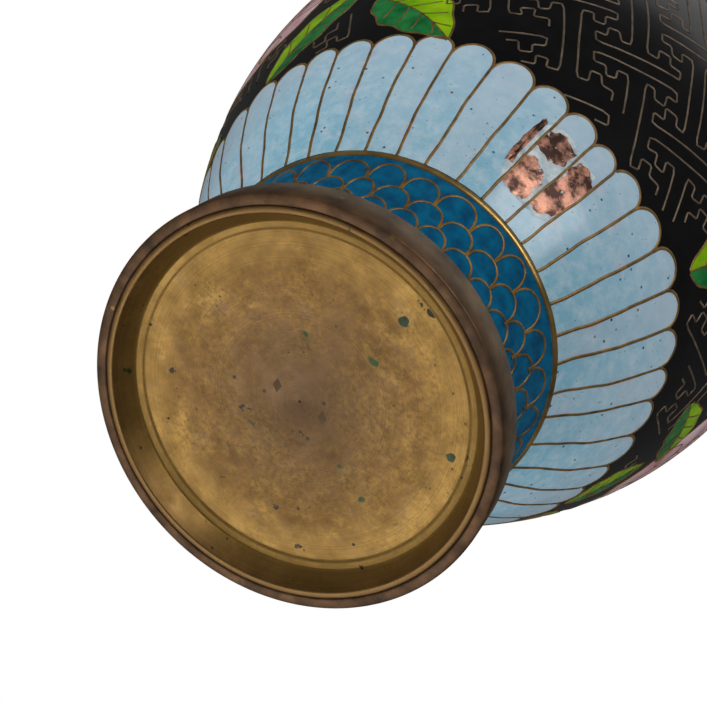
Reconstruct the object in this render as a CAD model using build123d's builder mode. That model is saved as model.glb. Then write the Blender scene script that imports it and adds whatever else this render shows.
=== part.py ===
from build123d import *
from math import atan2, cos, degrees, hypot, pi, radians, sin
import os

os.makedirs("parts", exist_ok=True)

# Overall sizes, mm
HEIGHT = 254.0
FOOT_RADIUS = 32.0
FOOT_HEIGHT = 6.65
BELLY_Z = 128.0
SHOULDER_Z = 196.0
LIP_Z = 250.0

# Foot and base pan
FOOT_LIP = 1.76
FOOT_FLANGE = 1.0
PAN_LIP = 1.1
PAN_WALL = 1.0
PAN_DISC_RADIUS = 27.4
PAN_DISC_Z = 4.2

# Layers of the wall, measured outward from the copper
COPPER = 1.2
LINER = 0.5
COAT = 0.7
RELIEF = 0.3
RING_PROUD = 0.35
WIRE = 0.4
CLEARANCE = 0.05

# Ring wires: lower edges
RING_WIDTH = 0.9
WAIST_RING_Z = 31.2
SHOULDER_RING_Z = 188.0
NECK_RING_Z = 212.0

# Petals, scales and fret
PETAL_COUNT = 40
PETAL_TIP_Z = 57.0
COLLAR_COUNT = 32
COLLAR_TIP_Z = 176.0
NECK_PETAL_COUNT = 24
NECK_PETAL_TIP_Z = 240.0
SCALE_COUNT = 30
SCALE_ROWS = 5
NECK_SCALE_COUNT = 24
NECK_SCALE_ROWS = 4
SCALE_PITCH = 4.2
FRET_UNIT = 2.1
FRET_LEAN = 28.0
FRET_RINGS = 5
FRET_LOW_Z = 72.0
FRET_RISE = 21.5

# Outer face of the copper, radius and height
PROFILE = [
    (25.6, FOOT_HEIGHT),
    (25.4, 16.0),
    (26.8, 22.0),
    (30.5, 31.2),
    (35.0, 38.0),
    (39.6, 45.0),
    (46.2, 58.0),
    (52.4, 72.0),
    (56.8, 84.0),
    (60.2, 96.0),
    (62.8, 109.0),
    (64.5, BELLY_Z),
    (64.0, 140.0),
    (61.8, 152.0),
    (58.0, 162.0),
    (53.0, 170.5),
    (46.0, 178.5),
    (37.5, 186.0),
    (32.0, 191.0),
    (27.5, SHOULDER_Z),
    (23.6, 203.0),
    (21.0, 211.0),
    (19.6, 222.0),
    (20.2, 232.0),
    (23.0, 241.0),
    (28.0, LIP_Z),
]


def radius_at(z):
    """Radius of the outer wall at a height."""
    for (r0, z0), (r1, z1) in zip(PROFILE, PROFILE[1:]):
        if z <= z1:
            return r0 + (r1 - r0) * (z - z0) / (z1 - z0) + COAT
    return PROFILE[-1][0] + COAT


def skin(inner, outer, low, high):
    """A layer of the turned wall between two offsets and two heights."""
    with BuildPart() as layer:
        with BuildSketch(Plane.XZ):
            with BuildLine():
                front = Polyline(*[(r + outer, z) for r, z in PROFILE])
                back = Polyline(*[(r + inner, z) for r, z in PROFILE])
                Line(front @ 0, back @ 0)
                Line(front @ 1, back @ 1)
            make_face()
        revolve(axis=Axis.Z)
        with BuildSketch(Plane.XY.offset(low)):
            Circle(2 * FOOT_RADIUS + 20)
        extrude(amount=high - low, mode=Mode.INTERSECT)
    return layer.part


def wall_plane(angle, z, turn=0.0):
    """Plane touching the wall: X runs round the vase, Y climbs the wall."""
    lean = atan2(radius_at(z + 2) - radius_at(z - 2), 4.0)
    out = (cos(lean) * cos(radians(angle)), cos(lean) * sin(radians(angle)), -sin(lean))
    round_ = (-sin(radians(angle)), cos(radians(angle)), 0)
    r = radius_at(z)
    plane = Plane(origin=(r * cos(radians(angle)), r * sin(radians(angle)), z), x_dir=round_, z_dir=out)
    return plane.rotated((0, 0, turn))


# The relief layers that tiles and wires are cut from
body_relief = skin(COAT, COAT + RELIEF, WAIST_RING_Z + RING_WIDTH, SHOULDER_RING_Z)
scale_relief = skin(COAT, COAT + RELIEF, FOOT_HEIGHT + RING_WIDTH, WAIST_RING_Z)
neck_scale_relief = skin(COAT, COAT + RELIEF, SHOULDER_RING_Z + RING_WIDTH, NECK_RING_Z)
neck_petal_relief = skin(COAT, COAT + RELIEF, NECK_RING_Z + RING_WIDTH, LIP_Z - RING_WIDTH)


def petal_outline(low_half, tip_half, length, grow=0.0, mode=Mode.ADD):
    """A long tongue with a round tip; Y runs from its root to its tip."""
    low_half += grow
    tip_half += grow
    shoulder = length - tip_half
    with BuildLine() as tongue:
        Polyline(
            (low_half, -1),
            (tip_half, shoulder),
            (0.8 * tip_half, shoulder + 0.6 * tip_half),
            (0.3 * tip_half, length + grow),
            (-0.3 * tip_half, length + grow),
            (-0.8 * tip_half, shoulder + 0.6 * tip_half),
            (-tip_half, shoulder),
            (-low_half, -1),
            close=True,
        )
    make_face(tongue.edges(), mode=mode)


def petal_tile(relief, plane, low_half, tip_half, length):
    """Enamel filling one petal."""
    with BuildPart() as tile:
        with BuildSketch(plane):
            petal_outline(low_half, tip_half, length)
        extrude(amount=6, both=True)
        add(relief, mode=Mode.INTERSECT)
    return tile.part


def petal_wire(relief, plane, low_half, tip_half, length):
    """Hooked wire: a short shoulder, round the tip and down one long leg."""
    with BuildPart() as hook:
        with BuildSketch(plane):
            petal_outline(low_half, tip_half, length, CLEARANCE + WIRE)
            petal_outline(low_half, tip_half, length, CLEARANCE, Mode.SUBTRACT)
            with Locations((-2 * tip_half, length - 2.2 * tip_half)):
                Rectangle(4 * tip_half, 2 * length, align=(Align.CENTER, Align.MAX), mode=Mode.SUBTRACT)
        extrude(amount=6, both=True)
        add(relief, mode=Mode.INTERSECT)
    return hook.part


def band_of_petals(maker, relief, root_z, tip_z, count):
    """One petal piece, drawn on the wall between its root and its tip."""
    root_r = radius_at(root_z)
    tip_r = radius_at(tip_z)
    length = hypot(tip_r - root_r, tip_z - root_z)
    lean = atan2(tip_r - root_r, tip_z - root_z)
    rise = (tip_z - root_z) / abs(tip_z - root_z)
    plane = Plane(
        origin=(root_r, 0, root_z),
        x_dir=(0, rise, 0),
        z_dir=(cos(lean) * rise, 0, -sin(lean) * rise) if rise > 0 else (-cos(lean), 0, sin(lean)),
    )
    low_half = pi * root_r / count - WIRE / 2 - CLEARANCE
    tip_half = pi * tip_r / count - WIRE / 2 - CLEARANCE
    excess = 0.0
    for step in range(-1, 20):
        along = step / 20
        room = pi * radius_at(root_z + (tip_z - root_z) * along) / count - WIRE / 2 - CLEARANCE
        reach = min(1.0, along * length / (length - tip_half))
        excess = max(excess, low_half + (tip_half - low_half) * reach - room)
    low_half -= excess
    tip_half -= excess
    return maker(relief, plane, low_half, tip_half, length)


def arch_outline(half, height):
    """Corner points of a faceted arch standing on its ends."""
    right = [(half, -1), (half, 0.2 * height), (0.75 * half, 0.72 * height), (0.3 * half, height)]
    return right + [(-x, y) for x, y in reversed(right)]


def scale_wire(relief, angle, z, half, height):
    """One arched wire of a fish-scale band."""
    with BuildPart() as arch:
        with BuildSketch(wall_plane(angle, z)):
            with BuildLine():
                Polyline(*arch_outline(half, height), close=True)
            make_face()
            with BuildLine():
                Polyline(*arch_outline(half - WIRE, height - WIRE), close=True)
            make_face(mode=Mode.SUBTRACT)
            with Locations((0, -height)):
                Rectangle(4 * half, 2 * height, mode=Mode.SUBTRACT)
        extrude(amount=2, both=True)
        add(relief, mode=Mode.INTERSECT)
    return arch.part


def key_outline(unit, inset):
    """Corner points of a stepped I-shaped key, a wall thickness inside its outer edge."""
    quarter = [(4, 5.3), (4, 4.2), (2.9, 4.2), (2.9, 3.1), (1.8, 3.1), (1.8, 4.2), (0.75, 4.2)]
    sides = [(-1, -1), (-1, 1), (-1, 1), (-1, 1), (1, 1), (1, 1), (-1, 1)]
    corner = [(x * unit + a * inset, y * unit + b * inset) for (x, y), (a, b) in zip(quarter, sides)]
    right = corner + [(x, -y) for x, y in reversed(corner)]
    return right + [(-x, y) for x, y in reversed(right)]


def fret_key(angle, z, unit, turn):
    """Closed wire outline of one key of the fret."""
    with BuildPart() as key:
        with BuildSketch(wall_plane(angle, z, turn)):
            with BuildLine():
                Polyline(*key_outline(unit, 0.0), close=True)
            make_face()
            with BuildLine():
                Polyline(*key_outline(unit, WIRE), close=True)
            make_face(mode=Mode.SUBTRACT)
        extrude(amount=6, both=True)
        add(body_relief, mode=Mode.INTERSECT)
    return key.part


def leaf_outline(length, half, grow=0.0, mode=Mode.ADD):
    """A leaf pointed at both ends, lying along X."""
    tip = length / 2 + 2 * grow
    side = half + grow
    upper = [(-tip, 0), (-0.68 * tip, 0.55 * side), (-0.3 * tip, 0.93 * side)]
    upper += [(0.05 * tip, side), (0.4 * tip, 0.86 * side), (0.75 * tip, 0.45 * side), (tip, 0)]
    with BuildLine() as blade:
        Polyline(*upper, *[(x, -y) for x, y in reversed(upper[1:-1])], close=True)
    make_face(blade.edges(), mode=mode)


def leaf_half(angle, z, length, half, turn, side):
    """Enamel of one half of a leaf, on one side of its midrib."""
    with BuildPart() as blade:
        with BuildSketch(wall_plane(angle, z, turn)):
            leaf_outline(length, half)
            with Locations((0, side * (WIRE / 2 + CLEARANCE - 20))):
                Rectangle(4 * length, 40, mode=Mode.SUBTRACT)
        extrude(amount=6, both=True)
        add(body_relief, mode=Mode.INTERSECT)
    return blade.part


def leaf_wire(angle, z, length, half, turn):
    """Outline and midrib of a leaf."""
    with BuildPart() as rib:
        with BuildSketch(wall_plane(angle, z, turn)):
            leaf_outline(length, half, CLEARANCE + WIRE)
            leaf_outline(length, half, CLEARANCE, Mode.SUBTRACT)
            Rectangle(length, WIRE)
        extrude(amount=6, both=True)
        add(body_relief, mode=Mode.INTERSECT)
    return rib.part


def oval_outline(across, along, mode=Mode.ADD):
    """An oval of short straight sides."""
    turns = [radians(360 / OVAL_SIDES * (n + 0.37)) for n in range(OVAL_SIDES)]
    with BuildLine() as loop:
        Polyline(*[(across * cos(t), along * sin(t)) for t in turns], close=True)
    make_face(loop.edges(), mode=mode)


def disc_tile(angle, z, across, along, turn, hollow):
    """Oval flower petal, as enamel or as its wire outline."""
    with BuildPart() as oval:
        with BuildSketch(wall_plane(angle, z, turn)):
            if hollow:
                oval_outline(across + CLEARANCE + WIRE, along + CLEARANCE + WIRE)
                oval_outline(across + CLEARANCE, along + CLEARANCE, Mode.SUBTRACT)
            else:
                oval_outline(across, along)
        extrude(amount=6, both=True)
        add(body_relief, mode=Mode.INTERSECT)
    return oval.part


# Flower heads: angle, height; each has five outer petals and a heart
FLOWERS = [(176.0, 108.0), (4.0, 106.0), (90.0, 112.0)]
FLOWER_PETALS = 5
PETAL_REACH = 12.5
OVAL_SIDES = 14
PETAL_ACROSS = 6.0
PETAL_ALONG = 6.8
HEART = 4.6

# Leaves: angle, height, length, half width, turn from level
LEAVES = [
    (199.0, 70.0, 26.0, 6.0, 40.0),
    (219.0, 66.0, 24.0, 6.0, 62.0),
    (307.0, 74.0, 25.0, 5.0, 70.0),
    (345.0, 76.0, 22.0, 5.5, 20.0),
    (25.0, 74.0, 24.0, 5.5, -35.0),
    (60.0, 84.0, 24.0, 5.5, 40.0),
    (120.0, 84.0, 24.0, 5.5, -40.0),
    (155.0, 76.0, 24.0, 5.5, 35.0),
    (210.0, 122.0, 24.0, 5.5, 30.0),
    (330.0, 124.0, 24.0, 5.5, -30.0),
    (48.0, 132.0, 24.0, 5.5, -20.0),
    (132.0, 134.0, 24.0, 5.5, 20.0),
]


def petal_places():
    """Angle, height and turn of every outer flower petal."""
    places = []
    for angle, z in FLOWERS:
        for n in range(FLOWER_PETALS):
            turn = 90 + 360 / FLOWER_PETALS * n
            across = PETAL_REACH * cos(radians(turn))
            up = PETAL_REACH * sin(radians(turn))
            lift = z + up * 0.98
            places.append((angle + degrees(across / radius_at(lift)), lift, turn - 90))
    return places


def blocked(angle, z, margin):
    """True where a fret key would run into a flower, a leaf or a band."""
    near = [(a, h, PETAL_REACH + PETAL_ALONG) for a, h in FLOWERS]
    for a, h, length, half, turn in LEAVES:
        shift = length / 4
        for side in (-1, 0, 1):
            across = degrees(side * shift * cos(radians(turn)) / radius_at(h))
            near.append((a + across, h + side * shift * sin(radians(turn)), half))
    for a, h, reach in near:
        gap = (angle - a + 180) % 360 - 180
        if hypot(radians(gap) * radius_at(z), h - z) < reach + margin:
            return True
    return False


def fret_rings():
    """Keys of the fret: one key is drawn for each ring and turned round the vase."""
    keys = []
    for ring in range(FRET_RINGS):
        z = FRET_LOW_Z + FRET_RISE * ring
        count = int(2 * pi * radius_at(z) / (9.6 * FRET_UNIT))
        key = fret_key(0, z, FRET_UNIT, FRET_LEAN)
        for n in range(count):
            angle = 360 / count * (n + 0.5 * (ring % 2))
            if not blocked(angle, z, 5.2 * FRET_UNIT):
                keys.append(Rot(0, 0, angle) * key)
    return keys


def gather(pieces):
    """Separate pieces of one kind, kept apart as they lie."""
    return Compound(children=list(pieces))


def turned(piece, count, start=0.0):
    """Equal copies of a piece round the vase, starting at an angle."""
    return gather(Rot(0, 0, start + 360 / count * n) * piece for n in range(count))


def scale_band(relief, top, rows, count):
    """Rows of arches, each row half a step round from the one above."""
    arches = []
    for row in range(rows):
        z = top - SCALE_PITCH * (row + 1)
        half = pi * min(radius_at(z), radius_at(z + 3)) / count - 0.08
        arch = scale_wire(relief, 0, z, half, SCALE_PITCH - 0.6)
        arches += [Rot(0, 0, 360 / count * (n + 0.5 * (row % 2))) * arch for n in range(count)]
    return gather(arches)


# Copper body, spun in three pieces
with BuildPart() as lower_shell:
    add(skin(-COPPER, 0, FOOT_HEIGHT, BELLY_Z))
    with BuildSketch(Plane.XY.offset(FOOT_HEIGHT)):
        Circle(PROFILE[0][0] - COPPER / 2)
    extrude(amount=COPPER)

with BuildPart() as upper_shell:
    add(skin(-COPPER, 0, BELLY_Z, SHOULDER_Z))

with BuildPart() as neck_shell:
    add(skin(-COPPER, 0, SHOULDER_Z, LIP_Z))

# Brass foot ring with its flange under the body
with BuildPart() as foot_ring:
    with BuildSketch(Plane.XZ):
        with BuildLine():
            Polyline(
                (FOOT_RADIUS - 0.3, 0),
                (FOOT_RADIUS, 0.3),
                (FOOT_RADIUS + 0.1, FOOT_HEIGHT),
                (PROFILE[0][0] - 2, FOOT_HEIGHT),
                (PROFILE[0][0] - 2, FOOT_HEIGHT - FOOT_FLANGE),
                (FOOT_RADIUS - FOOT_LIP, FOOT_HEIGHT - FOOT_FLANGE),
                (FOOT_RADIUS - FOOT_LIP, 0.25),
                (FOOT_RADIUS - FOOT_LIP + 0.25, 0),
                close=True,
            )
        make_face()
    revolve(axis=Axis.Z)

# Brass base pan: turned lip, sloping wall, recessed disc
pan_lip = FOOT_RADIUS - FOOT_LIP - CLEARANCE
with BuildPart() as base_pan:
    with BuildSketch(Plane.XZ):
        with BuildLine():
            Polyline(
                (0, PAN_DISC_Z),
                (PAN_DISC_RADIUS - 1.4, PAN_DISC_Z),
                (PAN_DISC_RADIUS - 1.2, PAN_DISC_Z - 0.2),
                (PAN_DISC_RADIUS, PAN_DISC_Z - 0.5),
                (pan_lip - PAN_LIP, 0.3),
                (pan_lip - PAN_LIP + 0.3, 0),
                (pan_lip - 0.2, 0),
                (pan_lip, 0.2),
                (pan_lip, 1.2),
                (PAN_DISC_RADIUS + PAN_WALL, PAN_DISC_Z + PAN_WALL),
                (0, PAN_DISC_Z + PAN_WALL),
                close=True,
            )
        make_face()
    revolve(axis=Axis.Z)
    # Two small lozenges punched in the middle of the disc
    with BuildSketch(Plane.XY.offset(PAN_DISC_Z)):
        with Locations((-4, 1), (4, -1)):
            RegularPolygon(1.3, 4)
    extrude(amount=0.25, mode=Mode.SUBTRACT)

# Brass mouth rim over the end of the neck
lip_radius = PROFILE[-1][0]
with BuildPart() as mouth_rim:
    with BuildSketch(Plane.XZ):
        with BuildLine():
            Polyline(
                (lip_radius - COPPER - LINER, LIP_Z),
                (lip_radius + COAT + RELIEF + 0.4, LIP_Z),
                (lip_radius + 2.4, LIP_Z + 1.0),
                (lip_radius + 2.6, HEIGHT - 1.2),
                (lip_radius + 1.6, HEIGHT),
                (lip_radius - 1.0, HEIGHT),
                (lip_radius - COPPER - LINER, HEIGHT - 1.2),
                close=True,
            )
        make_face()
    revolve(axis=Axis.Z)

# Gilt ring wires soldered to the copper
with BuildPart() as foot_joint_wire:
    add(skin(0, COAT + RELIEF + RING_PROUD, FOOT_HEIGHT, FOOT_HEIGHT + RING_WIDTH))

with BuildPart() as waist_wire:
    add(skin(0, COAT + RELIEF + RING_PROUD, WAIST_RING_Z, WAIST_RING_Z + RING_WIDTH))

with BuildPart() as shoulder_wire:
    add(skin(0, COAT + RELIEF + RING_PROUD, SHOULDER_RING_Z, SHOULDER_RING_Z + RING_WIDTH))

with BuildPart() as neck_wire:
    add(skin(0, COAT + RELIEF + RING_PROUD, NECK_RING_Z, NECK_RING_Z + RING_WIDTH))

with BuildPart() as lip_wire:
    add(skin(0, COAT + RELIEF + RING_PROUD, LIP_Z - RING_WIDTH, LIP_Z))

# Enamel coats fired on the copper, between the ring wires
with BuildPart() as scale_enamel:
    add(skin(0, COAT, FOOT_HEIGHT + RING_WIDTH, WAIST_RING_Z))

with BuildPart() as lower_ground_enamel:
    add(skin(0, COAT, WAIST_RING_Z + RING_WIDTH, BELLY_Z))

with BuildPart() as upper_ground_enamel:
    add(skin(0, COAT, BELLY_Z, SHOULDER_RING_Z))

with BuildPart() as neck_scale_enamel:
    add(skin(0, COAT, SHOULDER_RING_Z + RING_WIDTH, NECK_RING_Z))

with BuildPart() as neck_ground_enamel:
    add(skin(0, COAT, NECK_RING_Z + RING_WIDTH, LIP_Z - RING_WIDTH))

# Counter-enamel inside
with BuildPart() as body_liner:
    add(skin(-COPPER - LINER, -COPPER, FOOT_HEIGHT + COPPER, SHOULDER_Z))
    with BuildSketch(Plane.XY.offset(FOOT_HEIGHT + COPPER)):
        Circle(PROFILE[0][0] - COPPER - LINER / 2)
    extrude(amount=LINER)

with BuildPart() as neck_liner:
    add(skin(-COPPER - LINER, -COPPER, SHOULDER_Z, LIP_Z))

# Petal band round the waist
root = WAIST_RING_Z + RING_WIDTH + 0.4
petal_enamel = turned(band_of_petals(petal_tile, body_relief, root, PETAL_TIP_Z, PETAL_COUNT), PETAL_COUNT)
petal_wires = turned(band_of_petals(petal_wire, body_relief, root, PETAL_TIP_Z, PETAL_COUNT), PETAL_COUNT)

# Hanging petals on the shoulder
root = SHOULDER_RING_Z - 0.4
collar_enamel = turned(band_of_petals(petal_tile, body_relief, root, COLLAR_TIP_Z, COLLAR_COUNT), COLLAR_COUNT)
collar_wires = turned(band_of_petals(petal_wire, body_relief, root, COLLAR_TIP_Z, COLLAR_COUNT), COLLAR_COUNT)

# Upright petals on the neck
root = NECK_RING_Z + RING_WIDTH + 0.4
neck_tile = band_of_petals(petal_tile, neck_petal_relief, root, NECK_PETAL_TIP_Z, NECK_PETAL_COUNT)
neck_hook = band_of_petals(petal_wire, neck_petal_relief, root, NECK_PETAL_TIP_Z, NECK_PETAL_COUNT)
neck_petal_enamel = turned(neck_tile, NECK_PETAL_COUNT)
neck_petal_wires = turned(neck_hook, NECK_PETAL_COUNT)

# Fish scales on the foot's waist and on the neck
scale_wires = scale_band(scale_relief, WAIST_RING_Z - 1.6, SCALE_ROWS, SCALE_COUNT)
neck_scale_wires = scale_band(neck_scale_relief, NECK_RING_Z - 1.2, NECK_SCALE_ROWS, NECK_SCALE_COUNT)

# Flowers and leaves on the black ground
flower_enamel = gather(disc_tile(a, z, PETAL_ACROSS, PETAL_ALONG, turn, False) for a, z, turn in petal_places())
heart_enamel = gather(disc_tile(a, z, HEART, HEART, 0, False) for a, z in FLOWERS)
flower_wires = gather(
    [disc_tile(a, z, PETAL_ACROSS, PETAL_ALONG, turn, True) for a, z, turn in petal_places()]
    + [disc_tile(a, z, HEART, HEART, 0, True) for a, z in FLOWERS]
)
light_leaf_enamel = gather(leaf_half(*leaf, 1) for leaf in LEAVES)
dark_leaf_enamel = gather(leaf_half(*leaf, -1) for leaf in LEAVES)
leaf_wires = gather(leaf_wire(*leaf) for leaf in LEAVES)

# Keys of the fret, clear of one another
fret_wires = gather(fret_rings())

PIECES = {
    "lower_shell": lower_shell.part,
    "upper_shell": upper_shell.part,
    "neck_shell": neck_shell.part,
    "foot_ring": foot_ring.part,
    "base_pan": base_pan.part,
    "mouth_rim": mouth_rim.part,
    "foot_joint_wire": foot_joint_wire.part,
    "waist_wire": waist_wire.part,
    "shoulder_wire": shoulder_wire.part,
    "neck_wire": neck_wire.part,
    "lip_wire": lip_wire.part,
    "scale_enamel": scale_enamel.part,
    "lower_ground_enamel": lower_ground_enamel.part,
    "upper_ground_enamel": upper_ground_enamel.part,
    "neck_scale_enamel": neck_scale_enamel.part,
    "neck_ground_enamel": neck_ground_enamel.part,
    "body_liner": body_liner.part,
    "neck_liner": neck_liner.part,
    "petal_enamel": petal_enamel,
    "petal_wires": petal_wires,
    "collar_enamel": collar_enamel,
    "collar_wires": collar_wires,
    "neck_petal_enamel": neck_petal_enamel,
    "neck_petal_wires": neck_petal_wires,
    "scale_wires": scale_wires,
    "neck_scale_wires": neck_scale_wires,
    "flower_enamel": flower_enamel,
    "heart_enamel": heart_enamel,
    "flower_wires": flower_wires,
    "light_leaf_enamel": light_leaf_enamel,
    "dark_leaf_enamel": dark_leaf_enamel,
    "leaf_wires": leaf_wires,
    "fret_wires": fret_wires,
}
for name, piece in PIECES.items():
    piece.label = name
    export_step(piece, f"parts/{name}.step")
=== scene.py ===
import bpy
import math
import random
from mathutils import Matrix, Vector


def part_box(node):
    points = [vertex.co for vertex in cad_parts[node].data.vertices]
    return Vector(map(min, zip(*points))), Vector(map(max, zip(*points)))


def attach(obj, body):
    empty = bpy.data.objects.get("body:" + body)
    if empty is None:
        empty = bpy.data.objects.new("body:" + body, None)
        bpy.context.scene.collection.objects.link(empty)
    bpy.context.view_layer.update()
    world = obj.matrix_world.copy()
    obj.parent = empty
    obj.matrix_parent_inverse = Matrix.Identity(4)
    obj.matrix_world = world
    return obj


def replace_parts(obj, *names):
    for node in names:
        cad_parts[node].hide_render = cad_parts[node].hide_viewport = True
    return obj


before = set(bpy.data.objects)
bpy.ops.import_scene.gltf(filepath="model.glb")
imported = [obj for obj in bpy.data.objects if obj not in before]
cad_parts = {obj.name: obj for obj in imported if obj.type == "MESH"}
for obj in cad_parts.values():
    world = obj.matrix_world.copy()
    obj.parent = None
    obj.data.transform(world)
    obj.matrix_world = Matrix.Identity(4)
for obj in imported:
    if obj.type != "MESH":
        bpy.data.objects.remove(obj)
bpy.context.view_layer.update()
rng = random.Random(7)

# ---------------------------------------------------------------- sizes, metres
R1 = 0.032                       # foot radius, the unit of the decoration
FOOT_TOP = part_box("foot_ring")[1].z
HALF_RING = 0.00045              # from a ring wire's lower edge to its middle
RING = 0.0009                    # width of a ring wire
FLUSH = 0.0007                   # enamel face outside the copper
WIRE_TOP = 0.00013               # wires stand this far out of the enamel
CELL = 0.00045                   # width of a cell wire
STEP = 0.0001                    # height step of the wall table
WAIST_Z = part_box("waist_wire")[0].z + HALF_RING
SHOULDER_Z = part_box("shoulder_wire")[0].z + HALF_RING
NECK_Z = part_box("neck_wire")[0].z + HALF_RING
LIP_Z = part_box("lip_wire")[0].z + HALF_RING

# Outer face of the copper: radius and height, mm, as in the part's source
PROFILE = [
    (25.6, 6.65), (25.4, 16), (26.8, 22), (30.5, 31.2), (35, 38), (39.6, 45), (46.2, 58),
    (52.4, 72), (56.8, 84), (60.2, 96), (62.8, 109), (64.5, 128), (64, 140), (61.8, 152),
    (58, 162), (53, 170.5), (46, 178.5), (37.5, 186), (32, 191), (27.5, 196), (23.6, 203),
    (21, 211), (19.6, 222), (20.2, 232), (23, 241), (28, 250),
]


def wall_radius(z):
    """Smooth radius of the enamel face at a height."""
    mm = z * 1000
    points = PROFILE
    i = max(k for k in range(len(points) - 1) if points[k][1] <= mm or k == 0)

    def slope(k):
        a, b = points[max(k - 1, 0)], points[min(k + 1, len(points) - 1)]
        return (b[0] - a[0]) / (b[1] - a[1])
    (r0, z0), (r1, z1) = points[i], points[i + 1]
    h = z1 - z0
    t = min(max((mm - z0) / h, 0), 1)
    r = ((2 * t ** 3 - 3 * t ** 2 + 1) * r0 + (t ** 3 - 2 * t ** 2 + t) * h * slope(i)
         + (-2 * t ** 3 + 3 * t ** 2) * r1 + (t ** 3 - t ** 2) * h * slope(i + 1))
    return r / 1000 + FLUSH


# Pairs of length up the wall and height
TABLE = [(0.0, FOOT_TOP)]
for n in range(1, 2500):
    z = FOOT_TOP + STEP * n
    if z > LIP_Z + 0.001:
        break
    dr = wall_radius(z) - wall_radius(z - STEP)
    TABLE.append((TABLE[-1][0] + math.hypot(STEP, dr), z))


def height_at(s):
    """Height of a point a length s up the wall from the foot."""
    lo, hi = 0, len(TABLE) - 1
    s = min(max(s, 0.0), TABLE[-1][0])
    while hi - lo > 1:
        mid = (lo + hi) // 2
        if TABLE[mid][0] <= s:
            lo = mid
        else:
            hi = mid
    (s0, z0), (s1, z1) = TABLE[lo], TABLE[hi]
    return z0 + (z1 - z0) * (s - s0) / (s1 - s0)


def climb_at(z):
    """Length up the wall at a height."""
    n = min(max(int(round((z - FOOT_TOP) / STEP)), 0), len(TABLE) - 1)
    return TABLE[n][0]


def on_wall(angle, s, lift=0.0):
    """Point on the wall at an angle in degrees and a length up it."""
    z = height_at(s)
    r = wall_radius(z)
    tilt = math.atan2(wall_radius(z + 0.001) - wall_radius(z - 0.001), 0.002)
    r += lift * math.cos(tilt)
    z -= lift * math.sin(tilt)
    a = math.radians(angle)
    return Vector((r * math.cos(a), r * math.sin(a), z))


# ---------------------------------------------------------------- materials
def material(name, build):
    """New material, its nodes made by build(tree, shader)."""
    m = bpy.data.materials.new(name)
    m.use_nodes = True
    tree = m.node_tree
    tree.nodes.clear()
    out = tree.nodes.new("ShaderNodeOutputMaterial")
    shader = tree.nodes.new("ShaderNodeBsdfPrincipled")
    tree.links.new(shader.outputs[0], out.inputs[0])
    build(tree, shader)
    return m


def coords(tree):
    return tree.nodes.new("ShaderNodeTexCoord").outputs["Object"]


def noise(tree, scale, detail=4.0, rough=0.55, vector=None):
    n = tree.nodes.new("ShaderNodeTexNoise")
    n.inputs["Scale"].default_value = scale
    n.inputs["Detail"].default_value = detail
    n.inputs["Roughness"].default_value = rough
    tree.links.new(vector or coords(tree), n.inputs["Vector"])
    return n.outputs["Fac"]


def ramp(tree, value, stops):
    n = tree.nodes.new("ShaderNodeValToRGB")
    n.color_ramp.elements[0].position = stops[0][0]
    n.color_ramp.elements[0].color = (*stops[0][1], 1)
    n.color_ramp.elements[1].position = stops[-1][0]
    n.color_ramp.elements[1].color = (*stops[-1][1], 1)
    for position, colour in stops[1:-1]:
        n.color_ramp.elements.new(position).color = (*colour, 1)
    tree.links.new(value, n.inputs[0])
    return n.outputs[0]


def blend(tree, fac, a, b):
    n = tree.nodes.new("ShaderNodeMix")
    n.data_type = "RGBA"
    for socket, v in ((n.inputs[0], fac), (n.inputs[6], a), (n.inputs[7], b)):
        if isinstance(v, bpy.types.NodeSocket):
            tree.links.new(v, socket)
        elif isinstance(v, tuple):
            socket.default_value = (*v, 1)
        else:
            socket.default_value = v
    return n.outputs[2]


def bump(tree, shader, value, strength, distance):
    n = tree.nodes.new("ShaderNodeBump")
    n.inputs["Strength"].default_value = strength
    n.inputs["Distance"].default_value = distance
    tree.links.new(value, n.inputs["Height"])
    tree.links.new(n.outputs[0], shader.inputs["Normal"])


def voronoi(tree, scale):
    n = tree.nodes.new("ShaderNodeTexVoronoi")
    n.inputs["Scale"].default_value = scale
    tree.links.new(coords(tree), n.inputs["Vector"])
    return n


WHITE, BLACK = (1, 1, 1), (0, 0, 0)


def enamel(name, dark, light, scale, speck=None, rough=0.12, pits=0.25):
    def build(tree, shader):
        base = ramp(tree, noise(tree, scale), [(0.32, dark), (0.68, light)])
        if speck:
            cells = voronoi(tree, 900)
            spots = ramp(tree, cells.outputs["Distance"], [(0.10, WHITE), (0.17, BLACK)])
            few = ramp(tree, noise(tree, 420, 1), [(0.60, BLACK), (0.64, WHITE)])
            mask = blend(tree, spots, BLACK, few)
            base = blend(tree, mask, base, speck)
        tree.links.new(base, shader.inputs["Base Color"])
        shader.inputs["Roughness"].default_value = rough
        bump(tree, shader, noise(tree, 600, 3), pits, 0.00004)
    return material(name, build)


def specks(tree, base, scale, few, colours):
    """Tiny coloured grains scattered in the glass."""
    cells = voronoi(tree, scale)
    parts = tree.nodes.new("ShaderNodeSeparateColor")
    tree.links.new(cells.outputs["Color"], parts.inputs[0])
    near = ramp(tree, cells.outputs["Distance"], [(0.10, WHITE), (0.16, BLACK)])
    chosen = ramp(tree, parts.outputs[0], [(few, WHITE), (few + 0.01, BLACK)])
    return blend(tree, blend(tree, near, BLACK, chosen), base, ramp(tree, parts.outputs[1], colours))


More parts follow.
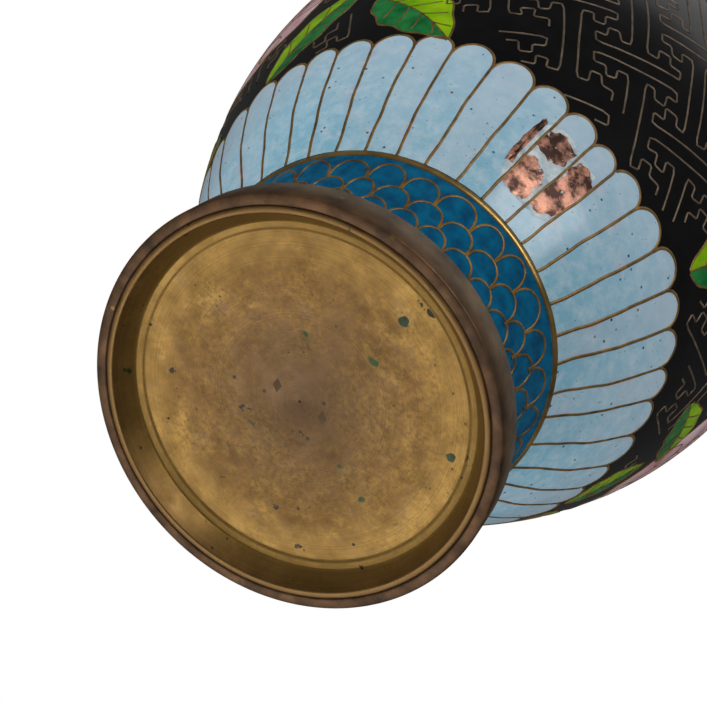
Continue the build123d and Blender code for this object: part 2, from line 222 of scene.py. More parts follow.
def sky_glass(tree, shader):
    """Sky blue by the ring, lilac at the tips, with haze and grains."""
    along = tree.nodes.new("ShaderNodeAttribute")
    along.attribute_name = "along"
    across = tree.nodes.new("ShaderNodeAttribute")
    across.attribute_name = "across"
    base = ramp(tree, along.outputs["Fac"], [(0.0, (0.20, 0.47, 0.61)), (0.45, (0.27, 0.51, 0.65)),
                                            (1.0, (0.38, 0.55, 0.67))])
    tint = tree.nodes.new("ShaderNodeAttribute")
    tint.attribute_name = "tint"
    cloud = ramp(tree, noise(tree, 420, 7, 0.7), [(0.42, BLACK), (0.66, (0.75,) * 3)])
    base = blend(tree, cloud, base, (0.50, 0.65, 0.73))
    paler = ramp(tree, tint.outputs["Fac"], [(0.0, BLACK), (1.0, (0.45,) * 3)])
    base = blend(tree, paler, base, (0.48, 0.58, 0.67))
    deep = ramp(tree, noise(tree, 95, 4), [(0.56, BLACK), (0.78, (0.5,) * 3)])
    base = blend(tree, deep, base, (0.15, 0.37, 0.52))
    edge = ramp(tree, across.outputs["Fac"], [(0.55, (0.12,) * 3), (1.0, (0.75,) * 3)])
    blush = ramp(tree, noise(tree, 120, 4, 0.6), [(0.54, BLACK), (0.72, WHITE)])
    base = blend(tree, blend(tree, blush, BLACK, edge), base, (0.52, 0.40, 0.46))
    base = specks(tree, base, 520, 0.30, [(0.0, (0.01, 0.02, 0.04)), (0.4, (0.03, 0.10, 0.22)),
                                          (0.7, (0.02, 0.16, 0.12)), (1.0, (0.30, 0.06, 0.05))])
    base = specks(tree, base, 1300, 0.16, [(0.0, (0.03, 0.05, 0.08)), (1.0, (0.10, 0.16, 0.30))])
    tree.links.new(base, shader.inputs["Base Color"])
    shader.inputs["Roughness"].default_value = 0.22
    bump(tree, shader, noise(tree, 450, 3), 0.25, 0.00005)


def metal(name, dark, light, rough, scale=160.0, verdigris=False, lip=False, metallic=0.8,
          relief=0.35, span=(0.3, 0.7)):
    """Mottled metal. A lip has a browner, speckled face at the floor."""
    def build(tree, shader):
        base = ramp(tree, noise(tree, scale, 6, 0.65), [(span[0], dark), (span[1], light)])
        if verdigris:
            where = ramp(tree, noise(tree, 130, 4), [(0.66, BLACK), (0.72, WHITE)])
            base = blend(tree, where, base, (0.05, 0.12, 0.05))
        if lip:
            split = tree.nodes.new("ShaderNodeSeparateXYZ")
            tree.links.new(coords(tree), split.inputs[0])
            low = ramp(tree, split.outputs[2], [(0.0002, WHITE), (0.0009, BLACK)])
            brown = ramp(tree, noise(tree, 260, 5), [(0.3, (0.045, 0.024, 0.012)),
                                                     (0.72, (0.17, 0.085, 0.035))])
            base = blend(tree, low, base, brown)
            base = specks(tree, base, 340, 0.32, [(0.0, (0.02, 0.07, 0.03)), (0.5, (0.10, 0.06, 0.02)),
                                                  (1.0, (0.42, 0.27, 0.08))])
        tree.links.new(base, shader.inputs["Base Color"])
        shader.inputs["Metallic"].default_value = metallic
        r = ramp(tree, noise(tree, 300, 4), [(0.3, (rough - 0.08,) * 3), (0.7, (rough + 0.12,) * 3)])
        tree.links.new(r, shader.inputs["Roughness"])
        bump(tree, shader, noise(tree, 900, 5, 0.7), relief, 0.00005)
    return material(name, build)


def turned_brass(tree, shader):
    """Tarnished brass with lathe rings and dark pits."""
    split = tree.nodes.new("ShaderNodeSeparateXYZ")
    tree.links.new(coords(tree), split.inputs[0])
    flat = tree.nodes.new("ShaderNodeCombineXYZ")
    tree.links.new(split.outputs[0], flat.inputs[0])
    tree.links.new(split.outputs[1], flat.inputs[1])
    length = tree.nodes.new("ShaderNodeVectorMath")
    length.operation = "LENGTH"
    tree.links.new(flat.outputs[0], length.inputs[0])
    ring = tree.nodes.new("ShaderNodeCombineXYZ")
    tree.links.new(length.outputs["Value"], ring.inputs[0])
    lines = noise(tree, 4200, 7, 0.75, ring.outputs[0])
    tone = ramp(tree, noise(tree, 130, 10, 0.75), [
        (0.32, (0.115, 0.056, 0.012)), (0.5, (0.215, 0.112, 0.022)), (0.66, (0.37, 0.21, 0.045))])
    grain = ramp(tree, noise(tree, 1500, 5, 0.75), [(0.38, (0.85,) * 3), (0.55, BLACK)])
    tone = blend(tree, grain, tone, (0.13, 0.07, 0.025))
    gold = ramp(tree, length.outputs["Value"], [(0.019, BLACK), (0.026, (0.45,) * 3)])
    tone = blend(tree, gold, tone, (0.50, 0.30, 0.07))
    centre = ramp(tree, length.outputs["Value"], [(0.0, (0.8,) * 3), (0.019, BLACK)])
    tone = blend(tree, centre, tone, (0.135, 0.080, 0.045))
    tone = blend(tree, ramp(tree, lines, [(0.40, (0.42,) * 3), (0.58, BLACK)]), tone, (0.085, 0.046, 0.014))
    smut = ramp(tree, noise(tree, 150, 5, 0.7), [(0.58, BLACK), (0.74, (0.4,) * 3)])
    tone = blend(tree, smut, tone, (0.12, 0.085, 0.055))
    brown = ramp(tree, noise(tree, 240, 5), [(0.3, (0.05, 0.025, 0.012)), (0.75, (0.20, 0.10, 0.04))])
    tone = blend(tree, ramp(tree, length.outputs["Value"], [(0.0288, BLACK), (0.0292, WHITE)]), tone, brown)
    pits = ramp(tree, noise(tree, 420, 3, 0.6), [(0.285, WHITE), (0.32, BLACK)])
    tone = blend(tree, pits, tone, (0.035, 0.03, 0.02))
    green = ramp(tree, noise(tree, 200, 3, 0.5), [(0.715, BLACK), (0.74, WHITE)])
    tone = blend(tree, green, tone, (0.04, 0.07, 0.025))
    tone = specks(tree, tone, 420, 0.09, [(0.0, (0.02, 0.02, 0.015)), (1.0, (0.08, 0.05, 0.03))])
    tree.links.new(tone, shader.inputs["Base Color"])
    shader.inputs["Metallic"].default_value = 0.7
    r = ramp(tree, noise(tree, 240, 4), [(0.3, (0.30,) * 3), (0.7, (0.52,) * 3)])
    tree.links.new(r, shader.inputs["Roughness"])
    bump(tree, shader, lines, 0.28, 0.00005)


TEAL = enamel("teal_glass", (0.0, 0.055, 0.13), (0.0, 0.125, 0.25), 420)
INK = enamel("black_glass", (0.0015, 0.0015, 0.002), (0.004, 0.004, 0.005), 200, rough=0.2, pits=0.15)
SKY = material("sky_glass", sky_glass)
LEAF_DARK = enamel("leaf_dark_glass", (0.0, 0.09, 0.02), (0.02, 0.22, 0.05), 240)
LEAF_LIGHT = enamel("leaf_light_glass", (0.12, 0.32, 0.0), (0.30, 0.52, 0.0), 200)
PINK = enamel("pink_glass", (0.62, 0.20, 0.27), (0.85, 0.66, 0.68), 90, rough=0.18)
YOLK = enamel("yellow_glass", (0.65, 0.40, 0.03), (0.85, 0.62, 0.12), 300)
LINING = enamel("lining_glass", (0.02, 0.24, 0.30), (0.05, 0.36, 0.40), 160, (0.01, 0.05, 0.08))
WIRE = metal("cell_wire", (0.10, 0.058, 0.014), (0.38, 0.22, 0.062), 0.42, 420, metallic=0.5)
FRET = metal("fret_wire_metal", (0.085, 0.06, 0.038), (0.26, 0.185, 0.12), 0.45, 500, metallic=0.5)
GILT = metal("gilt_wire_metal", (0.15, 0.09, 0.025), (0.66, 0.42, 0.13), 0.34, 110)
FOOT = metal("foot_metal", (0.10, 0.065, 0.04), (0.27, 0.185, 0.11), 0.50, 170, True, True, 0.6, 0.8)
RIM = metal("rim_metal", (0.40, 0.28, 0.11), (0.62, 0.44, 0.18), 0.32, 120)
COPPER = metal("copper_metal", (0.42, 0.16, 0.08), (0.70, 0.34, 0.20), 0.40, 200)
CHIP = metal("chip_copper", (0.05, 0.024, 0.018), (0.52, 0.25, 0.17), 0.40, 430, relief=1.0,
             span=(0.42, 0.60))
RUBBLE = enamel("broken_glass", (0.22, 0.32, 0.38), (0.64, 0.72, 0.74), 520, (0.25, 0.10, 0.07),
                rough=0.4, pits=1.0)
PAN = material("turned_pan", turned_brass)

# ---------------------------------------------------------------- mesh helpers
def mesh_piece(name, verts, faces, mat):
    data = bpy.data.meshes.new(name)
    data.from_pydata([tuple(v) for v in verts], [], faces)
    data.update()
    piece = bpy.data.objects.new(name, data)
    bpy.context.scene.collection.objects.link(piece)
    data.materials.append(mat)
    for p in data.polygons:
        p.use_smooth = True
    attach(piece, "root")
    return piece


def turned(name, outline, mat, steps=360, closed=True):
    """Surface of revolution of an outline of radius and height."""
    verts, faces = [], []
    for n in range(steps):
        a = 2 * math.pi * n / steps
        verts += [(r * math.cos(a), r * math.sin(a), z) for r, z in outline]
    k = len(outline)
    for n in range(steps):
        m = (n + 1) % steps
        for i in range(k if closed else k - 1):
            j = (i + 1) % k
            faces.append((n * k + i, m * k + i, m * k + j, n * k + j))
    return mesh_piece(name, verts, faces, mat)


class Batch:
    """Many small bits gathered into one mesh."""

    def __init__(self):
        self.verts, self.faces, self.marks = [], [], []

    def grid(self, rows):
        base, k = len(self.verts), len(rows[0])
        for row in rows:
            self.verts += row
        for i in range(len(rows) - 1):
            for j in range(k - 1):
                a = base + i * k + j
                self.faces.append((a, a + 1, a + k + 1, a + k))

    def wire(self, path, width, closed=False):
        """A rounded wire laid along points (angle, length up the wall)."""
        rows, count = [], len(path)
        for i in range(count):
            before = path[(i - 1) % count] if closed or i else path[i]
            after = path[(i + 1) % count] if closed or i < count - 1 else path[i]
            r = wall_radius(height_at(path[i][1]))
            swing = (after[0] - before[0] + 180) % 360 - 180
            along = Vector((math.radians(swing) * r, after[1] - before[1]))
            along = along.normalized() if along.length > 1e-9 else Vector((1, 0))
            side = Vector((-along.y, along.x))
            row = []
            for across, lift in ((-0.5, -0.0004), (-0.46, 0.55), (0.0, 1.0), (0.46, 0.55), (0.5, -0.0004)):
                d = side * width * across
                up = lift * WIRE_TOP if lift > 0 else lift
                row.append(on_wall(path[i][0] + math.degrees(d.x / r), path[i][1] + d.y, up))
            rows.append(row)
        if closed:
            rows.append(rows[0])
        self.grid(rows)

    def make(self, name, mat, slot):
        return mesh_piece(name, self.verts, self.faces, mat)


def band(name, s0, s1, mat, rows=60):
    """Coat of enamel on the wall between two lengths up it."""
    outline = []
    for i in range(rows + 1):
        z = height_at(s0 + (s1 - s0) * i / rows)
        outline.append((wall_radius(z), z))
    return turned(name, outline, mat, closed=False)


S_WAIST, S_SHOULDER, S_NECK, S_LIP = (climb_at(z) for z in (WAIST_Z, SHOULDER_Z, NECK_Z, LIP_Z))
S_COLLAR_TIP = climb_at(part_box("collar_enamel")[0].z)
S_NECK_TIP = climb_at(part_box("neck_petal_enamel")[1].z)

# ---------------------------------------------------------------- enamel grounds
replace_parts(band("scale_ground", 0.0, S_WAIST, TEAL), "scale_enamel")
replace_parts(band("body_ground", S_WAIST, S_SHOULDER, INK, 220),
            "lower_ground_enamel", "upper_ground_enamel")
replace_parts(band("neck_scale_ground", S_SHOULDER, S_NECK, TEAL), "neck_scale_enamel")
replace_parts(band("neck_ground", S_NECK, S_LIP, INK), "neck_ground_enamel")


def ring_wire(name, s, width, node, wobble):
    """Gilt ring laid by hand, a little wavy and uneven."""
    batch = Batch()
    waves = [(rng.uniform(0, 6.28), k, wobble / k) for k in (2, 3, 5, 9)]
    path = []
    for n in range(720):
        a = n / 2
        path.append((a, s + sum(h * math.sin(math.radians(a) * k + p) for p, k, h in waves)))
    batch.wire(path, width, True)
    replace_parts(batch.make(name, GILT, "gilt_wire"), node)


ring_wire("foot_joint_ring", 0.0005, RING, "foot_joint_wire", 0.0)
ring_wire("waist_ring", S_WAIST, 0.0012, "waist_wire", 0.0004)
ring_wire("shoulder_ring", S_SHOULDER, RING, "shoulder_wire", 0.0003)
ring_wire("neck_ring", S_NECK, RING, "neck_wire", 0.0002)
ring_wire("lip_ring", S_LIP - 0.0004, 0.0008, "lip_wire", 0.0)

# ---------------------------------------------------------------- fish scales
def scales(name, node, s_top, s_low, pitch, count, angle0):
    """Rows of arched wires, each row half a scale round from the last."""
    batch = Batch()
    row, s = 0, s_top
    while s > s_low:
        jitter = [rng.uniform(-1.3, 1.3) for _ in range(count)]
        lift = [rng.uniform(-0.12, 0.12) * pitch for _ in range(count)]
        step = 360 / count
        for n in range(count):
            left = angle0 + step * (n + 0.5 * (row % 2)) + jitter[n]
            right = angle0 + step * (n + 1 + 0.5 * (row % 2)) + jitter[(n + 1) % count]
            tip = s + lift[n]
            foot = s - pitch * 1.12
            shape = []
            for k in range(13):
                t = k / 12
                x = math.cos(math.pi * (1 - t))
                y = abs(math.sin(math.pi * t)) ** 0.72
                centre = (left + right) / 2
                shape.append((centre + x * (right - left) / 2 * 0.97, foot + (tip - foot) * y))
            batch.wire(shape, CELL)
        row += 1
        s -= pitch
    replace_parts(batch.make(name, WIRE, "petal_wire"), node)


scales("waist_scales", "scale_wires", S_WAIST - 0.0018, 0.006, 0.0042, 30, 1.0)
scales("neck_scales", "neck_scale_wires", S_NECK - 0.0018, S_SHOULDER + 0.004, 0.0045, 24, 0.0)


# ---------------------------------------------------------------- petal bands
def tip_height(angle):
    """Uneven tips of the waist petals, in foot radii up the wall."""
    return 1.75 + 0.06 * math.cos(math.radians(2 * (angle - 5))) + 0.03 * math.sin(math.radians(5 * angle))


def petals(prefix, slots, s_root, tip, count, start, up=1, nodes=()):
    """Long round-tipped petals and the hooked wires between them."""
    fills, hooks = Batch(), Batch()
    step = 360 / count
    edges = [start + step * n + rng.uniform(-0.9, 0.9) for n in range(count)]
    bends = [(rng.uniform(-0.7, 0.7), rng.uniform(0, 6.28), rng.uniform(-0.45, 0.45)) for _ in range(count)]

    def boundary(n, v):
        """Angle of the line between two petals at a share of their length."""
        swell, phase, lean = bends[n % count]
        shake = 0.16 * math.sin(v * 13 + phase * 3) + 0.09 * math.sin(v * 29 + phase * 5)
        curve = swell * math.sin(v * 4 + phase) * (1 - v) * v * 2
        return edges[n % count] + 360 * (n // count) + curve + shake * (1 - v) + lean * v

    for n in range(count):
        s_tip = tip(boundary(n, 0) + 180 / count) + up * rng.uniform(-0.0006, 0.0006)
        length = s_tip - s_root
        half = (boundary(n + 1, 0.9) - boundary(n, 0.9)) / 2
        cap = math.radians(half) * wall_radius(height_at(s_tip)) / abs(length) * rng.uniform(1.0, 1.2)

        def edge(v, side):
            left, right = boundary(n, v), boundary(n + 1, v)
            w = 1.0 if v < 1 - cap else max(0.0, 1 - ((v - 1 + cap) / cap) ** 2) ** 0.5
            return (left + right) / 2 + side * (right - left) / 2 * w

        low = 1 - cap
        levels = [low * k / 20 for k in range(20)]
        levels += [low + cap * math.sin(math.pi / 2 * k / 14) for k in range(15)]
        body, shade = [], rng.random()
        for v in levels:
            row = []
            for j in range(9):
                u = -1 + j / 4
                a = (edge(v, -1) + edge(v, 1)) / 2 + u * (edge(v, 1) - edge(v, -1)) / 2
                row.append(on_wall(a, s_root + length * v, 0.00003 * (1 - u * u) + 0.00002))
                fills.marks.append((v, abs(u), shade))
            body.append(row)
        fills.grid(body)
        short = 1 - cap * rng.uniform(0.7, 1.4)
        left = [(edge(v, -1), s_root + length * v) for v in levels if v > short]
        right = [(edge(v, 1), s_root + length * v) for v in reversed(levels)]
        hooks.wire(left + right[1:], CELL * rng.uniform(1.1, 1.35))
    piece = fills.make(prefix + "_petals", SKY, slots[0])
    for k, key in enumerate(("along", "across", "tint")):
        mark = piece.data.attributes.new(key, "FLOAT", "POINT")
        mark.data.foreach_set("value", [m[k] for m in fills.marks])
    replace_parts(piece, nodes[0])
    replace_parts(hooks.make(prefix + "_hooks", WIRE, slots[1]), nodes[1])


PETAL_SLOTS = ("sky_enamel", "petal_wire")
ROOT_GAP = 0.0006                # from the middle of a ring wire to the petals
petals("waist", PETAL_SLOTS, S_WAIST + ROOT_GAP, lambda a: tip_height(a) * R1, 40, 0.0, 1,
       ("petal_enamel", "petal_wires"))
petals("collar", PETAL_SLOTS, S_SHOULDER - ROOT_GAP, lambda a: S_COLLAR_TIP, 32, 3.0, -1,
       ("collar_enamel", "collar_wires"))
petals("neck", PETAL_SLOTS, S_NECK + ROOT_GAP, lambda a: S_NECK_TIP, 24, 2.0, 1,
       ("neck_petal_enamel", "neck_petal_wires"))


# ---------------------------------------------------------------- leaves and flowers
def place(angle, s, x, y, turn):
    """A point x, y metres from a centre on the wall, in axes turned by some degrees."""
    t = math.radians(turn)
    dx, dy = x * math.cos(t) - y * math.sin(t), x * math.sin(t) + y * math.cos(t)
    return angle + math.degrees(dx / wall_radius(height_at(s + dy))), s + dy


greens = (Batch(), Batch())
leaf_lines = Batch()
blockers = []                    # angle, length up the wall, reach: where no fret goes
BOW = 0.0012                     # bend of a leaf's midrib


def leaf(angle, s, length, half, turn):
    """A leaf in two greens with its outline, midrib and side veins."""
    def spine(t):
        return BOW * math.sin(math.pi * t)

    def rim(t, side):
        x = -length / 2 + length * t
        y = side * half * math.sin(math.pi * t ** 0.85) ** 0.85 * (1 + 0.07 * math.sin(t * 22 + side))
        return x, y + spine(t)
    for side, batch in ((1, greens[0]), (-1, greens[1])):
        rows = []
        for i in range(25):
            t = 0.005 + 0.99 * i / 24
            (x, y1), y0 = rim(t, side), spine(t)
            row = []
            for j in range(7):
                a, h = place(angle, s, x, y0 + (y1 - y0) * j / 6, turn)
                row.append(on_wall(a, h, 0.00006))
            rows.append(row if side > 0 else row[::-1])
        batch.grid(rows)
        edge = [place(angle, s, *rim(0.005 + 0.99 * i / 24, side), turn) for i in range(25)]
        leaf_lines.wire(edge, CELL * 0.9)
        for k in range(4):
            t = 0.22 + 0.17 * k
            x0, y0 = -length / 2 + length * t, spine(t)
            x1, y1 = rim(min(t + 0.14, 0.97), side * 0.8)
            leaf_lines.wire([place(angle, s, x0 + (x1 - x0) * q, y0 + (y1 - y0) * q ** 1.3, turn)
                             for q in (0, 0.25, 0.5, 0.75, 1)], CELL * 0.8)
    leaf_lines.wire([place(angle, s, -length / 2 + length * i / 12, spine(i / 12), turn)
                     for i in range(13)], CELL * 0.8)
    for q in (-0.3, 0, 0.3):
        a, h = place(angle, s, q * length, 0, turn)
        blockers.append((a, h, half * 0.95))


# Angle, length up the wall, length and half width in foot radii, turn
LEAVES = (
    (197.5, 2.18, 0.95, 0.16, 48), (220.5, 1.99, 0.74, 0.20, -42), (307.5, 2.20, 0.66, 0.15, 78),
    (346.0, 2.33, 0.60, 0.16, 25), (1.0, 2.05, 0.55, 0.15, 140), (25.0, 2.20, 0.70, 0.17, 35),
    (60.0, 2.45, 0.75, 0.17, 140), (120.0, 2.45, 0.75, 0.17, 40), (155.0, 2.15, 0.75, 0.17, 145),
    (207.0, 3.75, 0.75, 0.17, 30), (332.0, 3.8, 0.75, 0.17, 150), (48.0, 4.1, 0.75, 0.17, 150),
    (132.0, 4.1, 0.75, 0.17, 30), (265.0, 4.3, 0.7, 0.16, 20),
)
for angle, s, length, half, turn in LEAVES:
    leaf(angle, s * R1, length * R1, half * R1, turn)

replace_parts(greens[0].make("leaf_light", LEAF_LIGHT, "light_green_enamel"), "light_leaf_enamel")
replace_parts(greens[1].make("leaf_dark", LEAF_DARK, "dark_green_enamel"), "dark_leaf_enamel")

blooms, hearts, bloom_lines = Batch(), Batch(), Batch()


def oval(batch, lines, angle, s, x, y, turn, across, along, lift):
    """A ruffled petal with its outline."""
    def rim(q):
        t = 2 * math.pi * q
        ruffle = 1 + 0.05 * math.sin(5 * t + x * 900)
        lx, ly = across * math.cos(t) * ruffle, along * math.sin(t) * ruffle
        c = math.radians(turn)
        return x + lx * math.cos(c) - ly * math.sin(c), y + lx * math.sin(c) + ly * math.cos(c)
    rows = []
    for i in range(7):
        k = 0.001 + i / 6
        row = []
        for q in range(33):
            rx, ry = rim(q / 32)
            row.append(on_wall(*place(angle, s, x + (rx - x) * k, y + (ry - y) * k, 0), lift))
        rows.append(row)
    batch.grid(rows)
    lines.wire([place(angle, s, *rim(q / 32), 0) for q in range(32)], CELL * 0.9, True)


def bloom(angle, s, size):
    """Two rings of petals round a yellow heart."""
    for ring, (count, reach, wide) in enumerate(((7, 1.0, 0.50), (5, 0.52, 0.36))):
        for n in range(count):
            t = 360 / count * (n + 0.5 * ring)
            x, y = reach * size * math.cos(math.radians(t)), reach * size * math.sin(math.radians(t))
            oval(blooms, bloom_lines, angle, s, x * 0.72, y * 0.72, t - 90, wide * size, wide * size * 0.72,
                 0.00005 + 0.00004 * ring)
    oval(hearts, bloom_lines, angle, s, 0, 0, 0, size * 0.2, size * 0.2, 0.00014)
    blockers.append((angle, s, size * 1.1))


for angle, s in ((177.0, 3.0), (3.0, 2.95), (90.0, 3.25)):
    bloom(angle, s * R1, 0.6 * R1)
for angle, s in ((228.0, 4.3), (312.0, 4.3), (40.0, 3.4), (140.0, 3.4)):
    bloom(angle, s * R1, 0.34 * R1)

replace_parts(blooms.make("bloom_petals", PINK, "pink_enamel"), "flower_enamel")
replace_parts(hearts.make("bloom_hearts", YOLK, "yellow_enamel"), "heart_enamel")
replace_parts(bloom_lines.make("bloom_wires", WIRE, "petal_wire"), "flower_wires")
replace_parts(leaf_lines.make("leaf_wire_lines", WIRE, "petal_wire"), "leaf_wires")

# ---------------------------------------------------------------- fret
UNIT = 0.0706 * R1               # the grid that the keys are drawn on
KEY_PITCH = 6                    # between keys, in units
KEY_RANGE = 40                   # rows and columns of keys each way from the front
FRONT = 265.0                    # angle of the middle of the fret
FAN = 0.25                       # how much the flat fret opens like a fan up the wall
FAN_FIT = 0.94
ANCHOR = 2.31 * R1               # length up the wall of the middle key
APEX = 1.65 * R1 / FAN
LEAN = math.radians(27)
SHAKE = 0.12                     # unevenness of a corner, in units
KEY = [(4, -5.3), (4, -4.2), (2.9, -4.2), (2.9, -3.1), (1.8, -3.1), (1.8, -4.2), (0.72, -4.2)]
OUTLINE = KEY + [(x, -y) for x, y in reversed(KEY)]
OUTLINE = OUTLINE + [(-x, -y) for x, y in OUTLINE]


def hindered(angle, s):
    """Whether petals, collar, a leaf or a flower are in the fret's way."""
    if s > S_COLLAR_TIP - 0.001 or s < tip_height(angle) * R1 + 0.0006:
        return True
    for a, h, reach in blockers:
        gap = (angle - a + 180) % 360 - 180
        if math.hypot(math.radians(gap) * wall_radius(height_at(s)), s - h) < reach:
            return True
    return False


def fret():
    """Leaning lattice of stepped keys, laid flat round the front and cut where it meets anything."""
    batch = Batch()
    for i in range(-KEY_RANGE, KEY_RANGE + 1):
        for j in range(-KEY_RANGE, KEY_RANGE + 1):
            if (i + j) % 2 == 0:
                continue
            path = []
            for k, (x, y) in enumerate(OUTLINE):
                nx, ny = OUTLINE[(k + 1) % len(OUTLINE)]
                for q in (0.0, 0.5) if math.hypot(nx - x, ny - y) > 3 else (0.0,):
                    px = KEY_PITCH * i + x + (nx - x) * q + rng.uniform(-SHAKE, SHAKE)
                    py = KEY_PITCH * j + y + (ny - y) * q + rng.uniform(-SHAKE, SHAKE)
                    path.append((px * UNIT, py * UNIT))
            laid = []
            for px, py in path:
                wx = px * math.cos(LEAN) - py * math.sin(LEAN)
                wy = px * math.sin(LEAN) + py * math.cos(LEAN)
                rho, phi = math.hypot(wx, APEX + wy), math.atan2(wx, APEX + wy)
                laid.append((FRONT + math.degrees(phi) / FAN * FAN_FIT, ANCHOR + rho - APEX))
            if any(abs(a - FRONT) > 180 for a, s in laid):
                continue
            runs, run = [], []
            for p in laid + laid[:1]:
                if hindered(*p):
                    if len(run) > 3:
                        runs.append(run)
                    run = []
                else:
                    run.append(p)
            if len(run) > 3:
                runs.append(run)
            for r in runs:
                fine = [r[0]]
                for p, q in zip(r, r[1:]):
                    fine += [(p[0] + (q[0] - p[0]) * t, p[1] + (q[1] - p[1]) * t) for t in (0.14, 0.5, 0.86)]
                batch.wire(fine + [r[-1]], CELL * 0.9)
    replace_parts(batch.make("fret_lines", FRET, "fret_wire"), "fret_wires")


fret()

# ---------------------------------------------------------------- chipped petals
def patch(name, points, mat, lift, slot, ragged=0.35):
    """Irregular flake on the wall, its corners shaken by some degrees."""
    path = []
    for i, (a, s) in enumerate(points):
        b, t = points[(i + 1) % len(points)]
        for q in (0.0, 0.2, 0.4, 0.6, 0.8):
            path.append((a + (b - a) * q + rng.uniform(-1, 1) * ragged + 90,
                         (s + (t - s) * q + rng.uniform(-1, 1) * ragged * 0.026) * R1))
    ca = sum(p[0] for p in path) / len(path)
    cs = sum(p[1] for p in path) / len(path)
    rows = []
    for i in range(6):
        k = 0.001 + i / 5
        rows.append([on_wall(ca + (a - ca) * k, cs + (s - cs) * k,
                             lift + (rng.uniform(0, 0.00003) if 0 < i < 5 else 0.0)) for a, s in path])
    for row in rows:
        row.append(row[0])
    batch = Batch()
    batch.grid(rows)
    batch.make(name, mat, slot)


RUBBLE_LIFT, FLAKE_LIFT = 0.00006, 0.00008
# Corners: an angle a quarter turn behind the row's own, and foot radii up the wall
patch("broken_enamel", [
    (168.8, 1.12), (169, 1.36), (171, 1.47), (176, 1.50), (180.5, 1.45), (186, 1.44),
    (188.5, 1.28), (188, 1.05), (184, 0.98), (177, 0.97), (171, 0.99)], RUBBLE, RUBBLE_LIFT, "sky_enamel")
FLAKES = {
    "a": [(171.6, 1.30), (172.2, 1.43), (175.5, 1.47), (179.8, 1.43), (179.9, 1.31), (176.5, 1.27)],
    "b": [(171.3, 1.0), (171.5, 1.20), (174, 1.23), (178, 1.19), (179.8, 1.14), (179.6, 1.0), (176, 0.98)],
    "c": [(181.2, 1.02), (181.4, 1.42), (184.5, 1.44), (187.9, 1.38), (187.8, 1.08), (184, 1.0)],
    "d": [(168.5, 1.10), (168.7, 1.34), (169.6, 1.49), (170.8, 1.44), (170.7, 1.12)],
}
for letter, corners in FLAKES.items():
    patch("bare_copper_" + letter, corners, CHIP, FLAKE_LIFT, "copper")

# ---------------------------------------------------------------- foot, pan and mouth
mm = 0.001


def softened(points, cut):
    """Corners of an outline cut back twice, for turned edges."""
    for _ in range(2):
        out = []
        for i, p in enumerate(points):
            for q in (points[i - 1], points[(i + 1) % len(points)]):
                d = math.hypot(q[0] - p[0], q[1] - p[1])
                k = min(cut, d * 0.3) / d
                out.append((p[0] + (q[0] - p[0]) * k, p[1] + (q[1] - p[1]) * k))
        points, cut = out, cut * 0.4
    return points


foot = [(30.26, 0), (32.0, 0), (32.1, 6.6), (26.4, 6.65), (26.4, 5.7), (30.26, 5.7)]
foot_outline = softened([(r * mm, z * mm) for r, z in foot], 0.0002)
foot_piece = turned("foot_wall", foot_outline, FOOT, 512)
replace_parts(foot_piece, "foot_ring")
PAN_FACE = 4.2                   # height of the disc's lower face, mm
pan = [(0.02, PAN_FACE), (25.9, PAN_FACE), (26.3, 3.95), (27.4, 3.7), (29.0, 0.5), (29.2, 0), (30.24, 0),
       (30.24, 1.2), (28.4, 5.2), (0.02, 5.2)]
pan_outline = softened([(r * mm, z * mm) for r, z in pan], 0.00016)
pan_piece = turned("base_dish", pan_outline, PAN, 512, False)
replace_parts(pan_piece, "base_pan")


def spot(name, x, y, size, mat, sides=24, squeeze=1.0, tilt=0.0):
    """Mark standing a hair below the disc's lower face, a low cone."""
    z = PAN_FACE * mm
    rows = []
    for k, drop in ((1.0, 0.0), (0.7, 0.00003), (0.02, 0.00004)):
        row = []
        for n in range(sides + 1):
            t = 2 * math.pi * (n % sides) / sides
            wobble = 1.0 if sides < 6 else 1 + 0.07 * math.sin(3 * t + x * 300) + 0.05 * math.sin(5 * t)
            dx, dy = size * k * wobble * math.cos(t), size * k * wobble * squeeze * math.sin(t)
            row.append(Vector((x + dx * math.cos(tilt) - dy * math.sin(tilt),
                               y + dx * math.sin(tilt) + dy * math.cos(tilt), z - drop)))
        rows.append(row)
    batch = Batch()
    batch.grid(rows)
    batch.make(name, mat, "pan_brass")


SMUT = metal("pit_dark", (0.012, 0.012, 0.008), (0.05, 0.045, 0.02), 0.6, 600, metallic=0.2)
MOSS = metal("pit_green", (0.02, 0.035, 0.012), (0.07, 0.10, 0.04), 0.6, 600, metallic=0.2)
PUNCH = metal("punch_dark", (0.05, 0.028, 0.012), (0.12, 0.07, 0.03), 0.5, 600, metallic=0.6)
spot("pit_black", 0.0925 * R1, -0.807 * R1, 0.00085, SMUT)
spot("pit_moss", 0.041 * R1, -0.673 * R1, 0.0008, MOSS)
spot("pit_low", 0.63 * R1, -0.40 * R1, 0.0007, MOSS)
spot("punch_a", -0.004, 0.001, 0.0012, PUNCH, 4, 0.6, 0.9)
spot("punch_b", 0.004, -0.001, 0.0012, PUNCH, 4, 0.6, 0.9)

for node, mat in (("mouth_rim", RIM), ("lower_shell", COPPER), ("upper_shell", COPPER),
                  ("neck_shell", COPPER), ("body_liner", LINING), ("neck_liner", LINING)):
    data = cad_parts[node].data
    data.materials.clear()
    data.materials.append(mat)

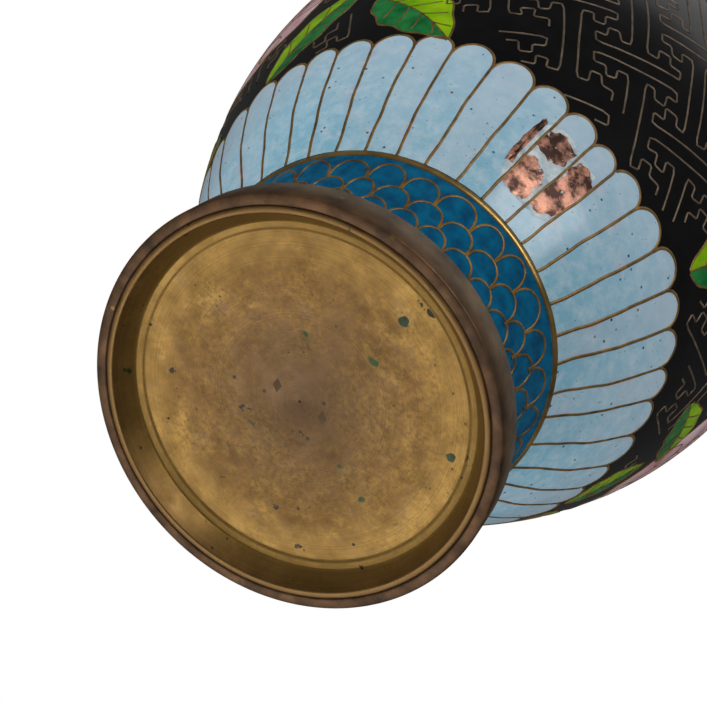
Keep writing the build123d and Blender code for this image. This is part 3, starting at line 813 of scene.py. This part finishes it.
# ---------------------------------------------------------------- floor, light and camera
def floor_look(tree, shader):
    """Pale paper from above, clear from below, so that the base can be seen."""
    shader.inputs["Roughness"].default_value = 0.6
    tone = ramp(tree, noise(tree, 8), [(0.3, (0.90, 0.90, 0.90)), (0.7, (0.94, 0.94, 0.94))])
    tree.links.new(tone, shader.inputs["Base Color"])
    face = tree.nodes.new("ShaderNodeNewGeometry").outputs["Backfacing"]
    clear = tree.nodes.new("ShaderNodeBsdfTransparent")
    mix = tree.nodes.new("ShaderNodeMixShader")
    tree.links.new(face, mix.inputs[0])
    tree.links.new(shader.outputs[0], mix.inputs[1])
    tree.links.new(clear.outputs[0], mix.inputs[2])
    tree.links.new(mix.outputs[0], tree.nodes["Material Output"].inputs[0])


side, drop = 3.0, -0.0002
floor_data = bpy.data.meshes.new("floor")
floor_data.from_pydata([(-side, -side, drop), (side, -side, drop), (side, side, drop), (-side, side, drop)],
                       [], [(0, 1, 2, 3)])
floor_data.materials.append(material("floor_paper", floor_look))
floor = bpy.data.objects.new("floor", floor_data)
bpy.context.scene.collection.objects.link(floor)
floor.visible_diffuse = False
floor.visible_glossy = False
floor.visible_shadow = False
floor.visible_transmission = False

world = bpy.data.worlds.new("studio")
bpy.context.scene.world = world
world.use_nodes = True
sky = world.node_tree
paths = sky.nodes.new("ShaderNodeLightPath")
shine = sky.nodes.new("ShaderNodeMix")
shine.inputs[2].default_value = 0.50
shine.inputs[3].default_value = 0.05
sky.links.new(paths.outputs["Is Glossy Ray"], shine.inputs[0])
seen = sky.nodes.new("ShaderNodeMix")
seen.inputs[3].default_value = 1.0
sky.links.new(paths.outputs["Is Camera Ray"], seen.inputs[0])
sky.links.new(shine.outputs[0], seen.inputs[2])
sky.nodes["Background"].inputs[0].default_value = (1, 1, 1, 1)
sky.links.new(seen.outputs[0], sky.nodes["Background"].inputs[1])

# The photograph's view, fitted to the foot, the ring and the wall
camera_at = Vector((0, -3.1239, -4.6852)) * R1
right = Vector((0.664134, -0.649617, 0.370032))
up = Vector((-0.747613, -0.577522, 0.327937))
ahead = Vector((-0.000668, 0.494435, 0.869214))
camera = bpy.data.objects.new("camera", bpy.data.cameras.new("camera"))
camera.data.lens = 63.65
camera.data.sensor_width = 36
camera.data.clip_start = 0.001
turn = Matrix((right, up, -ahead)).transposed().to_4x4()
turn.translation = camera_at
camera.matrix_world = turn
bpy.context.scene.collection.objects.link(camera)
bpy.context.scene.camera = camera


def lamp(name, at, aim, size, power, mirrored=True, spread=True):
    """Square lamp, seen in shiny faces if mirrored, lighting matt ones if spread."""
    light = bpy.data.lights.new(name, "AREA")
    light.size = size
    light.energy = power
    obj = bpy.data.objects.new(name, light)
    obj.location = at
    obj.rotation_mode = "QUATERNION"
    obj.rotation_quaternion = (aim - at).to_track_quat("-Z", "Y")
    obj.visible_glossy = mirrored
    obj.visible_diffuse = spread
    bpy.context.scene.collection.objects.link(obj)


middle = Vector((0, 0, 0.05))
lamp("key", camera_at + up * 0.60 + right * 0.06, middle, 0.50, 1.45, False)
lamp("fill", camera_at - up * 0.20 - right * 0.45, middle, 0.35, 0.7, False)
lamp("under", Vector((0.05, 0.25, -0.38)), Vector((0, 0, 0)), 0.35, 0.85)
lamp("low_front", Vector((0.05, -0.60, -0.06)), Vector((0, 0, 0)), 0.34, 1.7, True, False)
lamp("rim", middle + right * 0.50 - up * 0.30 + ahead * 0.30, middle, 0.40, 0.30, False)
lamp("top", Vector((0.30, -0.50, 0.85)), Vector((0, 0, 0.12)), 0.50, 3.0, False)
lamp("haze", Vector((-0.09, -0.50, 0.95)), Vector((0, 0, 0.12)), 0.42, 0.25)

bpy.context.scene.view_settings.view_transform = "Standard"
